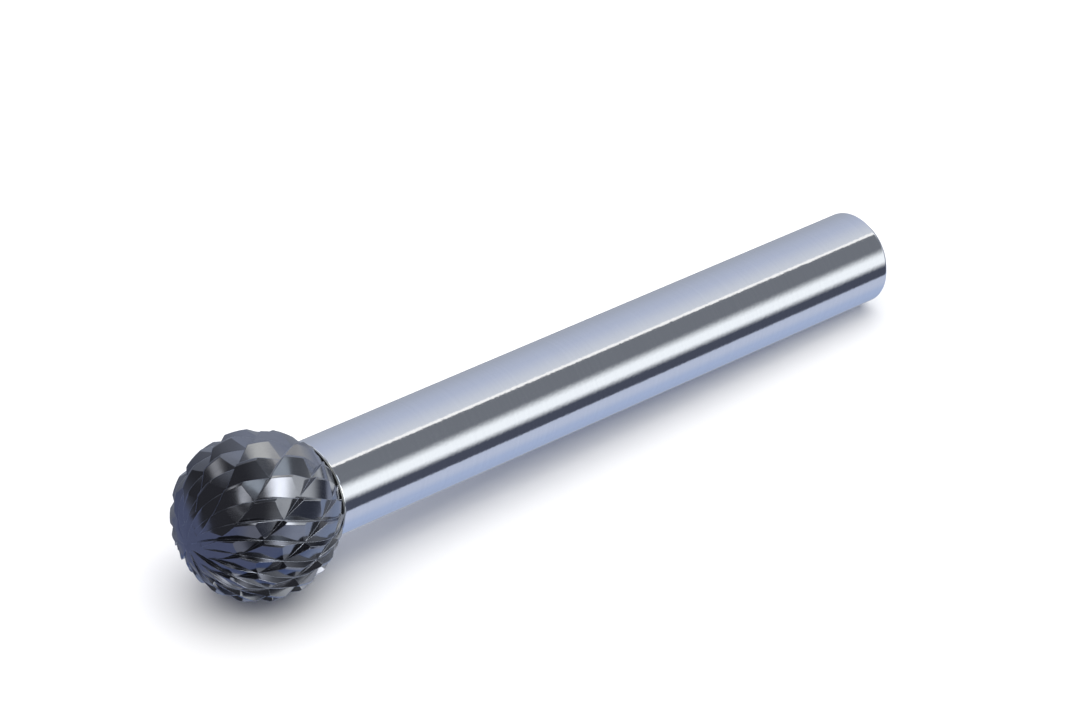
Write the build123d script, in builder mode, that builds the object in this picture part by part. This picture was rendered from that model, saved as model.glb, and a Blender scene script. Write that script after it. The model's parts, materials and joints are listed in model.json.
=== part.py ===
"""Carbide burr with a double-cut ball head on a plain round shank, lying on a bench.

Three pieces: a ground tungsten carbide head, a disc of silver braze behind it, and a ground steel shank.
Millimetres. Each piece is built on the plane `tool`, whose origin is the middle of the shank's rear face and
whose z axis runs up the tool to the tip of the ball. That plane is inclined so that the burr lies as it comes
to rest: +Z up, the bench at z = 0, the head towards -X, and the origin under the middle of the burr.
"""

from build123d import *
from math import asin, atan, atan2, cos, degrees, hypot, pi, radians, sin, sqrt, tan
import os

# Overall sizes
ball_diameter = 10.0
shank_diameter = 6.0
overall_length = 54.0
rear_chamfer = 0.5

# The braze between the head and the shank
braze_thickness = 0.08

# Flutes: right-hand saw-tooth grooves, whose steep walls are the faces of the cutting edges
flute_count = 21
flute_helix = 21.0
flute_depth = 0.5
flute_rake = 8.0
flute_land = 0.15
flute_end = 74.0
long_flute_end = 86.0
long_flute_every = 3

# Chip breakers: left-hand grooves that part the cutting edges into separate teeth
breaker_count = 12
breaker_helix = 30.0
breaker_depth = 0.48
breaker_width = 1.3
breaker_rake = 15.0
breaker_end = 76.0
breaker_lead = 12.9

# How the wheel leaves the ball: it fades out at both ends of a groove, and passes the head's rear face
overrun = 4.0
rear_fade = 7.0
runout_depth = 0.01
overcut = 0.05
wheel_clearance = 0.35

ball_radius = ball_diameter / 2
shank_radius = shank_diameter / 2
ball_z = overall_length - ball_radius
head_z = ball_z - sqrt(ball_radius**2 - shank_radius**2)
shank_length = head_z - braze_thickness
rim_latitude = degrees(asin((head_z - ball_z) / ball_radius))
rear_end = rim_latitude - rear_fade
flute_pitch = 360 / flute_count
flute_width = radians(flute_pitch) * ball_radius * cos(radians(flute_helix)) - flute_land

# The burr lies on the two teeth beside its lowest flute and on the rear rim of the shank
rest_radius = ball_radius * cos(flute_width / ball_radius / 2)
rest_span = ball_z - rear_chamfer
incline = asin(rest_radius / hypot(rest_span, shank_radius)) - atan2(shank_radius, rest_span)
rear_height = shank_radius * cos(incline) - rear_chamfer * sin(incline)
rear_x = (ball_z * cos(incline) + ball_radius - (shank_radius - rear_chamfer) * sin(incline)) / 2
tool = Plane(
    (rear_x, 0, rear_height),
    x_dir=(sin(incline), 0, cos(incline)),
    z_dir=(-cos(incline), 0, sin(incline)),
)
tool_axis = Axis(tool.origin, tool.z_dir)
tool_section = Plane(tool.origin, x_dir=tool.x_dir, z_dir=-tool.y_dir)

# Azimuths are counted about the tool's axis from its upper side, so half a turn is the lowest line of the ball
flute_azimuth = 180 - degrees(flute_width / ball_radius / cos(radians(flute_helix))) / 2
breaker_azimuth = flute_azimuth + breaker_lead


def groove_plane(latitude, azimuth, turn):
    """The plane through the ball's centre that is square to a groove, x to its right and y outwards."""
    lat, az = radians(latitude), radians(azimuth + turn * latitude)
    outwards = Vector(cos(lat) * cos(az), cos(lat) * sin(az), sin(lat))
    north = Vector(-sin(lat) * cos(az), -sin(lat) * sin(az), cos(lat))
    east = Vector(-sin(az), cos(az), 0)
    along = north + east * (turn * cos(lat))
    return Plane((0, 0, ball_z), x_dir=along.cross(outwards), z_dir=-along)


def groove_cutter(azimuth, helix, depth, width, rake, end):
    """The sweep of a grinding wheel along one groove, from behind the head to where it runs out near the tip.

    Its section is a saw tooth: a steep wall on the left, and on the right a long slope up to the surface.
    """
    station_count = 9
    turn = tan(radians(helix))
    start = rim_latitude - overrun
    with BuildPart() as cutter:
        for station in range(station_count):
            latitude = start + (end - start) * station / (station_count - 1)
            fade = cos(pi / 2 * latitude / (end if latitude > 0 else rear_end))
            deep = runout_depth + (depth - runout_depth) * fade
            local_helix = atan(turn * cos(radians(latitude)))
            narrowing = cos(radians(latitude)) * cos(local_helix) / cos(radians(helix))
            spread = width * narrowing / ball_radius
            wall = Vector(0, ball_radius)
            root = Vector(deep * tan(radians(rake)), ball_radius - deep)
            heel = Vector(sin(spread), cos(spread)) * ball_radius
            crown = Vector(sin(spread / 2), cos(spread / 2)) * (ball_radius + wheel_clearance)
            wall_top = wall + (wall - root).normalized() * overcut
            heel_top = heel + (heel - root).normalized() * overcut
            with BuildSketch(groove_plane(latitude, azimuth, turn)):
                with BuildLine():
                    Polyline(root, heel_top, crown, wall_top, close=True)
                make_face()
        loft()
    return cutter.part


flute = groove_cutter(flute_azimuth, flute_helix, flute_depth, flute_width, flute_rake, flute_end)
long_flute = groove_cutter(
    flute_azimuth, flute_helix, flute_depth, flute_width, flute_rake, long_flute_end
)
breaker = groove_cutter(
    breaker_azimuth, -breaker_helix, breaker_depth, breaker_width, breaker_rake, breaker_end
)

with BuildPart(tool) as cutting_head:
    with BuildSketch(tool_section):
        with BuildLine():
            Line((0, head_z), (shank_radius, head_z))
            CenterArc((0, ball_z), ball_radius, rim_latitude, 90 - rim_latitude)
            Line((0, overall_length), (0, head_z))
        make_face()
    revolve(axis=tool_axis)
    for turned in range(long_flute_every):
        with PolarLocations(0, flute_count // long_flute_every, start_angle=turned * flute_pitch):
            add(flute if turned else long_flute, mode=Mode.SUBTRACT)
    with PolarLocations(0, breaker_count):
        add(breaker, mode=Mode.SUBTRACT)
cutting_head.part.label = "cutting_head"

with BuildPart() as braze_joint:
    with BuildSketch(tool.offset(shank_length)):
        Circle(shank_radius)
    extrude(amount=braze_thickness)
braze_joint.part.label = "braze_joint"

with BuildPart() as shank:
    with BuildSketch(tool):
        Circle(shank_radius)
    extrude(amount=shank_length)
    rear_rim = shank.edges().filter_by(GeomType.CIRCLE).sort_by(tool_axis)[0]
    chamfer(rear_rim, rear_chamfer)
shank.part.label = "shank"

os.makedirs("parts", exist_ok=True)
export_step(cutting_head.part, "parts/cutting_head.step")
export_step(braze_joint.part, "parts/braze_joint.step")
export_step(shank.part, "parts/shank.step")
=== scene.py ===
import json
from math import cos, pi, radians, sin, tan

import bmesh
import bpy
from mathutils import Matrix, Vector


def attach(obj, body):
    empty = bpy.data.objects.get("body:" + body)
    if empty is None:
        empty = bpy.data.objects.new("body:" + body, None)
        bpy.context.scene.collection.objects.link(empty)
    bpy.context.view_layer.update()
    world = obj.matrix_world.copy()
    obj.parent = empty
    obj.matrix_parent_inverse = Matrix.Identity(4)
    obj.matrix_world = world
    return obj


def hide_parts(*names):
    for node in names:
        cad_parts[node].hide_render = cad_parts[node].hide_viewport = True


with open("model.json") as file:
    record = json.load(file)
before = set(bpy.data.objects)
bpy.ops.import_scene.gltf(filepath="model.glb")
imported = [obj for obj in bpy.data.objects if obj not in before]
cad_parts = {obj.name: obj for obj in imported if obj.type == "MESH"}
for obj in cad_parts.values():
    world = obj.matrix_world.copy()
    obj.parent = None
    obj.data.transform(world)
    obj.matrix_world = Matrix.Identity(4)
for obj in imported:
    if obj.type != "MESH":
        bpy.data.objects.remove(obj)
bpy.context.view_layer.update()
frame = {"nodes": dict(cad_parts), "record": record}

# The cutting head: a ball of sintered tungsten carbide, brazed on and then ground. A diamond wheel cuts the
# right-hand flutes, and a second pass of left-hand chip breakers parts their edges into separate teeth.
mm = 0.001
carbide_grey = (0.25, 0.255, 0.28, 1)
carbide_worn = (0.32, 0.325, 0.35, 1)
# A paler grey, painted along the head's edges as a highlight
painted_glint_colour = (0.52, 0.545, 0.61, 1)
carbide_roughness = (0.09, 0.21)
ball_radius = 5 * mm
ball_height = 49 * mm
flute_helix = radians(21)
grain_size = 0.35 * mm
mark_pitch, mark_length, mark_depth = 0.04 * mm, 1.2 * mm, 0.0006 * mm
mark_strength = 0.5
# The width over which the edges are rounded in the shading normal, and the gain and blend of a painted
# highlight that lightens their base colour
edge_wear_and_glint_width, painted_glint_gain, painted_glint_blend = 0.05 * mm, 4, 0.1


class Value:
    """One output in a node tree. Python's arithmetic on it adds Math nodes."""

    def __init__(self, tree, socket):
        self.tree = tree
        self.socket = socket

    def math(self, operation, *operands):
        return add_node(self.tree, "ShaderNodeMath", {"operation": operation}, dict(enumerate(operands)))

    def __add__(self, other):
        return self.math("ADD", self, other)

    def __sub__(self, other):
        return self.math("SUBTRACT", self, other)

    def __rsub__(self, other):
        return self.math("SUBTRACT", other, self)

    def __mul__(self, other):
        return self.math("MULTIPLY", self, other)

    def __truediv__(self, other):
        return self.math("DIVIDE", self, other)

    def __rtruediv__(self, other):
        return self.math("DIVIDE", other, self)

    def __mod__(self, other):
        return self.math("FLOORED_MODULO", self, other)

    def __rmod__(self, other):
        return self.math("FLOORED_MODULO", other, self)

    __radd__ = __add__
    __rmul__ = __mul__


def plug(tree, socket, content):
    """Links a value to a socket, or sets the socket to a constant."""
    if isinstance(content, Value):
        tree.links.new(content.socket, socket)
    else:
        socket.default_value = content


def add_node(tree, kind, settings=None, inputs=None, output=0):
    """Adds a node, makes its settings, then fills its inputs, and returns one of its outputs."""
    node = tree.nodes.new(kind)
    for name, setting in (settings or {}).items():
        setattr(node, name, setting)
    for name, content in (inputs or {}).items():
        plug(tree, node.inputs[name], content)
    return Value(tree, node.outputs[output])


def blend(tree, factor, low, high):
    """A colour between two others."""
    return add_node(
        tree,
        "ShaderNodeMix",
        {"data_type": "RGBA"},
        {"Factor": factor, 6: low, 7: high},
        output=2,
    )


def spread(tree, value, low, high):
    """A value from 0 to 1 stretched to the range from low to high."""
    return value * (high - low) + low


def parts_of(tree, vector):
    """The x, y and z of a vector."""
    node = tree.nodes.new("ShaderNodeSeparateXYZ")
    plug(tree, node.inputs[0], vector)
    return [Value(tree, part) for part in node.outputs]


def new_finish(name, **constants):
    """A finish whose constants are set on the shader's own sockets."""
    finish = bpy.data.materials.new(name)
    finish.use_nodes = True
    shader = finish.node_tree.nodes["Principled BSDF"]
    for socket, constant in constants.items():
        shader.inputs[socket.replace("_", " ")].default_value = constant
    return finish, finish.node_tree, shader


def put_on(node_name, finish):
    """Gives a CAD node its finish."""
    node = frame["nodes"][node_name]
    for slot in node.material_slots:
        slot.material = finish
    for face in node.data.polygons:
        face.material_index = 0


# The tool's own frame, from its mounts: z runs from the shank's rear face to the tip
mounts = {mount["name"]: mount for mount in frame["record"]["mounts"]}
shank_mount, rear_mount = mounts["shank"], mounts["shank_end"]
tail_way = Vector(shank_mount["axis"])
rear_centre = Vector(rear_mount["pos_m"])
across = Vector((0, 1, 0))
tool_frame = Matrix((across.cross(-tail_way), across, -tail_way)).transposed().to_4x4()
tool_frame.translation = rear_centre


def in_tool_frame(tree, height):
    """Object coordinates measured in the tool's frame from a point on its axis."""
    return add_node(
        tree,
        "ShaderNodeMapping",
        {"vector_type": "TEXTURE"},
        {
            "Vector": add_node(tree, "ShaderNodeTexCoord", output=3),
            "Location": tool_frame @ Vector((0, 0, height)),
            "Rotation": tool_frame.to_euler(),
        },
    )


carbide, tree, shader = new_finish("ground_carbide", Metallic=1)
place = in_tool_frame(tree, ball_height)
x, y, z = parts_of(tree, place)
reach = add_node(tree, "ShaderNodeVectorMath", {"operation": "LENGTH"}, {0: place}, output=1)
latitude = (z / reach).math("ARCSINE", z / reach)
azimuth = y.math("ARCTAN2", y, x) - latitude * tan(flute_helix)
wheel_path = add_node(
    tree,
    "ShaderNodeCombineXYZ",
    {},
    {
        0: azimuth * (ball_radius / mark_pitch),
        1: latitude * (ball_radius / mark_length),
        2: reach / mark_length,
    },
)
wheel_marks = add_node(tree, "ShaderNodeTexNoise", {}, {"Vector": wheel_path, "Scale": 1, "Detail": 2})
grain = add_node(tree, "ShaderNodeTexNoise", {}, {"Vector": place, "Scale": 1 / grain_size, "Detail": 3})
ground_colour = blend(tree, wheel_marks * 0.5 + grain * 0.5, carbide_grey, carbide_worn)
plug(tree, shader.inputs["Roughness"], spread(tree, wheel_marks, *carbide_roughness))
# Wherever the rounded normal turns away from the face, at convex and concave edges alike, the base colour is
# lightened towards a paler grey. This is a painted highlight standing for the glint of the ground edges. The
# same rounded normal also bends the shading normal.
rounded_edge_normal = add_node(tree, "ShaderNodeBevel", {"samples": 6}, {"Radius": edge_wear_and_glint_width})
face_normal = add_node(tree, "ShaderNodeNewGeometry", output=1)
turned_away = add_node(
    tree, "ShaderNodeVectorMath", {"operation": "DOT_PRODUCT"}, {0: rounded_edge_normal, 1: face_normal}, output=1
)
painted_glint_mask = turned_away.math("SMOOTH_MIN", (1 - turned_away) * painted_glint_gain, 1, painted_glint_blend)
plug(tree, shader.inputs["Base Color"], blend(tree, painted_glint_mask, ground_colour, painted_glint_colour))
marks = add_node(
    tree,
    "ShaderNodeBump",
    {},
    {"Height": wheel_marks, "Distance": mark_depth, "Strength": mark_strength, "Normal": rounded_edge_normal},
)
plug(tree, shader.inputs["Normal"], marks)
put_on("cutting_head", carbide)

# The braze: a thin disc of silver solder between the head and the shank. It was melted in with a flux, wetted
# both faces and was then ground flush, and it has stayed a little duller than the steel.
silver_braze = (0.42, 0.42, 0.38, 1)
dull_braze = (0.3, 0.3, 0.3, 1)
braze_grain = 0.4 * mm
braze_roughness = (0.25, 0.45)
braze, tree, shader = new_finish("silver_braze", Metallic=1)
place = add_node(tree, "ShaderNodeTexCoord", output=3)
flow = add_node(tree, "ShaderNodeTexNoise", {}, {"Vector": place, "Scale": 1 / braze_grain, "Detail": 3})
plug(tree, shader.inputs["Base Color"], blend(tree, flow, silver_braze, dull_braze))
plug(tree, shader.inputs["Roughness"], spread(tree, flow, *braze_roughness))
put_on("braze_joint", braze)

# The shank: a bar of hardened steel, centreless ground to fit a collet. The wheel leaves fine rings round it,
# and its rear end is faced off and chamfered.
shank_radius = shank_mount["dims"]["r_mm"] * mm
pin_length = shank_mount["dims"]["length_mm"] * mm
pin_middle = (Vector(shank_mount["pos_m"]) - rear_centre).length
rear_chamfer = pin_middle - pin_length / 2
shank_length = pin_middle + pin_length / 2
rim_softness, rim_segments = 0.05 * mm, 3
rim_support = 0.12 * mm
rim_angle = radians(30)
turning_steps = 128
steel_grey = (0.74, 0.75, 0.79, 1)
steel_bright = (0.80, 0.81, 0.84, 1)
ring_pitch, ring_depth = 0.17 * mm, 0.0004 * mm
ring_wander = 90  # waves per metre, across the rings
ripple_size, ripple_depth = 0.25 * mm, 0.0035 * mm
steel_roughness = (0.04, 0.12)
facing_pitch, facing_depth = 0.14 * mm, 0.013 * mm
steel_faced = (0.56, 0.57, 0.61, 1)
faced_roughness = 0.16

steel, tree, shader = new_finish("ground_steel", Metallic=1)
place = in_tool_frame(tree, 0)
rings = add_node(
    tree,
    "ShaderNodeMapping",
    {},
    {"Vector": place, "Scale": (ring_wander, ring_wander, 1 / ring_pitch)},
)
ring_noise = add_node(tree, "ShaderNodeTexNoise", {}, {"Vector": rings, "Scale": 1, "Detail": 4})
ripple = add_node(tree, "ShaderNodeTexNoise", {}, {"Vector": place, "Scale": 1 / ripple_size, "Detail": 3})
x, y, z = parts_of(tree, place)
square = x * x + y * y
from_axis = square.math("SQRT", square) / facing_pitch
facing_rings = add_node(
    tree, "ShaderNodeTexNoise", {"noise_dimensions": "1D"}, {"W": from_axis, "Scale": 1, "Detail": 1}
)
faced = z.math("LESS_THAN", z, rear_chamfer)
ground = blend(tree, ring_noise, steel_grey, steel_bright)
plug(tree, shader.inputs["Base Color"], blend(tree, faced * facing_rings, ground, steel_faced))
plug(
    tree,
    shader.inputs["Roughness"],
    spread(tree, ring_noise, *steel_roughness) + faced * faced_roughness,
)
plug(
    tree,
    shader.inputs["Normal"],
    add_node(
        tree,
        "ShaderNodeBump",
        {},
        {
            "Height": ring_noise * ring_depth + ripple * ripple_depth + faced * facing_rings * facing_depth,
            "Distance": 1,
            "Strength": 1,
        },
    ),
)

bm = bmesh.new()
outline = [
    (0, 0),
    (shank_radius - rear_chamfer - rim_support, 0),
    (shank_radius - rear_chamfer, 0),
    (shank_radius, rear_chamfer),
    (shank_radius, rear_chamfer + rim_support),
    (shank_radius, shank_length - rim_support),
    (shank_radius, shank_length),
    (shank_radius - rim_support, shank_length),
    (0, shank_length),
]
corners = [bm.verts.new((x, 0, z)) for x, z in outline]
sides = [bm.edges.new(pair) for pair in zip(corners, corners[1:])]
bmesh.ops.spin(
    bm,
    geom=corners + sides,
    cent=(0, 0, 0),
    axis=(0, 0, 1),
    angle=2 * pi,
    steps=turning_steps,
    use_merge=True,
)
bmesh.ops.remove_doubles(bm, verts=bm.verts, dist=1e-7)
bmesh.ops.recalc_face_normals(bm, faces=bm.faces)
rims = [edge for edge in bm.edges if len(edge.link_faces) == 2 and edge.calc_face_angle() > rim_angle]
bmesh.ops.bevel(
    bm, geom=rims, offset=rim_softness, segments=rim_segments, profile=0.5, affect="EDGES", material=-1
)
bm.transform(tool_frame)
for face in bm.faces:
    face.smooth = True
shank_mesh = bpy.data.meshes.new("ground_shank")
bm.to_mesh(shank_mesh)
bm.free()
shank_mesh.set_sharp_from_angle(angle=rim_angle)
shank_mesh.materials.append(steel)
ground_shank = bpy.data.objects.new("ground_shank", shank_mesh)
bpy.context.collection.objects.link(ground_shank)
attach(ground_shank, "root")
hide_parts("shank")

# The camera looks down on the bench from in front of the head, with the ball near the lower left and the
# shank running up to the right. It is far off and has a long lens, so the shank hardly tapers.
frame_width_px, frame_height_px = 1080, 720
focal_px = 4000
sensor_width = 36
turn, dip = radians(-41.25), radians(32.6)
ball_px = (257.0, 515.5)
ball_distance = 0.2298
right = Vector((cos(turn), sin(turn), 0))
into = Vector((-sin(turn) * cos(dip), cos(turn) * cos(dip), -sin(dip)))
up = right.cross(into)
ball_centre = tool_frame @ Vector((0, 0, ball_height))
beside = (ball_px[0] - frame_width_px / 2) / focal_px * ball_distance
below = (ball_px[1] - frame_height_px / 2) / focal_px * ball_distance
viewpoint = ball_centre - right * beside + up * below - into * ball_distance
camera = bpy.data.cameras.new("camera")
camera.sensor_width = sensor_width
camera.lens = focal_px / frame_width_px * sensor_width
camera.clip_start, camera.clip_end = 0.01, 20
camera_object = bpy.data.objects.new("camera", camera)
facing = Matrix((right, up, -into)).transposed().to_4x4()
camera_object.matrix_world = Matrix.Translation(viewpoint) @ facing
bpy.context.collection.objects.link(camera_object)
bpy.context.scene.camera = camera_object
bpy.context.scene.view_settings.view_transform = "Standard"

# The bench that the burr lies on: a plain pale board, matt, and much larger than the view. It takes the soft
# shadow and isn't seen in the polished metal, which shows the light tent.
bench_white = (0.9, 0.9, 0.91, 1)
bench_roughness = 0.6
bench_reach = 3
floor_finish, tree, shader = new_finish("pale_floor", Base_Color=bench_white, Roughness=bench_roughness)
bm = bmesh.new()
bmesh.ops.create_grid(bm, x_segments=1, y_segments=1, size=bench_reach)
floor_mesh = bpy.data.meshes.new("floor")
bm.to_mesh(floor_mesh)
bm.free()
floor_mesh.materials.append(floor_finish)
floor = bpy.data.objects.new("floor", floor_mesh)
floor.visible_glossy = False
bpy.context.collection.objects.link(floor)

# The light tent, given by two angles. "round" is the angle about the length of the burr, in degrees, from the
# far horizon over the top (90) and the near horizon (180) to straight below (270). "along" is the angle
# towards the tail, from -90 at the head's end to 90.
room = bpy.data.worlds.new("light_tent")
room.use_nodes = True
bpy.context.scene.world = room
tree = room.node_tree
seam = -60
way_x, way_y, way_z = parts_of(tree, add_node(tree, "ShaderNodeTexCoord", output=0))
round_angle = (way_z.math("ARCTAN2", way_z, way_y) * (180 / pi) - seam) % 360 + seam
along_angle = way_x.math("ARCSINE", way_x) * (180 / pi)


def rise(angle, start, end):
    """A soft edge: 0 before start, 1 after end."""
    return add_node(
        tree,
        "ShaderNodeMapRange",
        {"interpolation_type": "SMOOTHSTEP"},
        {"Value": angle, "From Min": start, "From Max": end},
    )


def window(angle, middle, half, softness):
    """1 within a range of angles, with soft edges."""
    offset = angle - middle
    return rise(offset.math("ABSOLUTE", offset), half + softness, half - softness)


far_sheet_low = (0.41, 0.445, 0.52, 1)
far_sheet_blue = (0.535, 0.59, 0.735, 1)
far_sheet_high = (0.74, 0.775, 0.825, 1)
ceiling_white = (1.2, 1.19, 1.15, 1)
room_grey = (0.19, 0.204, 0.228, 1)
softbox_white = (1.11, 1.155, 1.17, 1)
bench_dark = (0.073, 0.083, 0.117, 1)
near_sheet = (0.57, 0.63, 0.78, 1)
near_sheet_blue = (0.44, 0.53, 0.74, 1)
near_sheet_low = (0.39, 0.47, 0.66, 1)
far_middle = (0.28, 0.30, 0.35, 1)
near_middle = (0.12, 0.172, 0.37, 1)
head_end_dark = (0.06, 0.062, 0.072, 1)
head_end_blue = (0.205, 0.24, 0.40, 1)

# The strips that run along the burr
tent = far_sheet_low
for start, end, colour in (
    (-20, 70, far_sheet_blue),
    (50, 110, far_sheet_high),
    (102, 105, ceiling_white),
    (108.5, 110.5, room_grey),
    (147, 170, softbox_white),
    (180.5, 198, bench_dark),
    (216, 221, near_sheet),
    (232, 262, near_sheet_blue),
    (262, 290, near_sheet_low),
):
    tent = blend(tree, rise(round_angle, start, end), tent, colour)

# Both sheets get darker towards the middle
towards_head = rise(along_angle, 31, 4)
tent = blend(tree, towards_head * rise(round_angle, 108, 98), tent, far_middle)
tent = blend(tree, towards_head * rise(round_angle, 232, 254), tent, near_middle)

# The head's end of the tent is dark above and blue below and behind
at_head_end = rise(along_angle, 6, -22)
above = rise(round_angle, 10, 45) * rise(round_angle, 235, 205)
tent = blend(tree, (1 - above) * at_head_end, tent, head_end_blue)
tent = blend(tree, above * at_head_end, tent, head_end_dark)

# Panels, as (middle, half size, softness) round and along the burr: the end of the ceiling strip, the main
# softbox beside the camera and its fills, and a dark gap low behind
for around, along, colour in (
    ((102, 5, 2.5), (14, 10, 3), (1.5, 1.5, 1.4, 1)),
    ((138, 9, 2), (19, 10.5, 1.5), (0.84, 0.94, 1.03, 1)),
    ((168, 16, 8), (3, 9, 8), (3.3, 3.4, 3.5, 1)),
    ((147, 5, 3), (-32, 7, 3), (1.6, 1.65, 1.72, 1)),
    ((82, 5, 3), (-29, 5, 3), (0.85, 0.86, 0.88, 1)),
    ((226, 8, 5), (-24, 14, 5), (0.36, 0.38, 0.46, 1)),
    ((-34, 8, 4), (45, 45, 6), (0.14, 0.16, 0.22, 1)),
):
    mask = window(round_angle, *around) * window(along_angle, *along)
    tent = blend(tree, mask, tent, colour)
plug(tree, tree.nodes["Background"].inputs["Color"], tent)


# The softboxes round the bench. The large one overhead gives the soft shadow. The narrow ones, towards the
# head's end, light the shank alone and draw it in bright lines where it is seen from its rear.
def softbox(name, around, along, distance, radiance, colour, only_on=None):
    """A rectangular soft light, from (middle, half size) in degrees round and along the burr.

    It lights everything without being seen, or only one object, which then reflects it.
    """
    r, x = radians(around[0]), radians(along[0])
    outwards = Vector((sin(x), cos(x) * cos(r), cos(x) * sin(r)))
    lengthwise = Vector((cos(x), -sin(x) * cos(r), -sin(x) * sin(r)))
    light = bpy.data.lights.new(name, "AREA")
    light.shape = "RECTANGLE"
    light.size = 2 * distance * tan(radians(along[1]))
    light.size_y = 2 * distance * tan(radians(around[1]) * cos(x))
    light.energy = radiance * pi * light.size * light.size_y
    light.color = colour
    box = bpy.data.objects.new(name, light)
    turn = Matrix((lengthwise, outwards.cross(lengthwise), outwards)).transposed().to_4x4()
    box.matrix_world = Matrix.Translation(outwards * distance) @ turn
    box.visible_camera = False
    box.visible_glossy = only_on is not None
    if only_on:
        box.light_linking.receiver_collection = bpy.data.collections.new(name)
        box.light_linking.receiver_collection.objects.link(only_on)
    bpy.context.collection.objects.link(box)


softbox("overhead_softbox", (90, 48), (0, 48), 0.9, 1.75, (1, 0.985, 0.96))
softbox("rear_far_softbox", (66, 20), (-26, 47), 0.6, 0.68, (0.9, 0.95, 1), ground_shank)
softbox("rear_horizon_fill", (24, 21), (-26, 47), 0.6, 0.3, (1, 0.97, 0.88), ground_shank)
softbox("rear_fill", (117, 26), (-26, 47), 0.6, 0.13, (0.93, 0.97, 1), ground_shank)
softbox("rear_near_softbox", (159, 10), (-26, 47), 0.6, 1.1, (0.96, 0.98, 1), ground_shank)
softbox("rear_low_softbox", (207, 10), (-26, 47), 0.6, 0.42, (0.88, 0.94, 1), ground_shank)
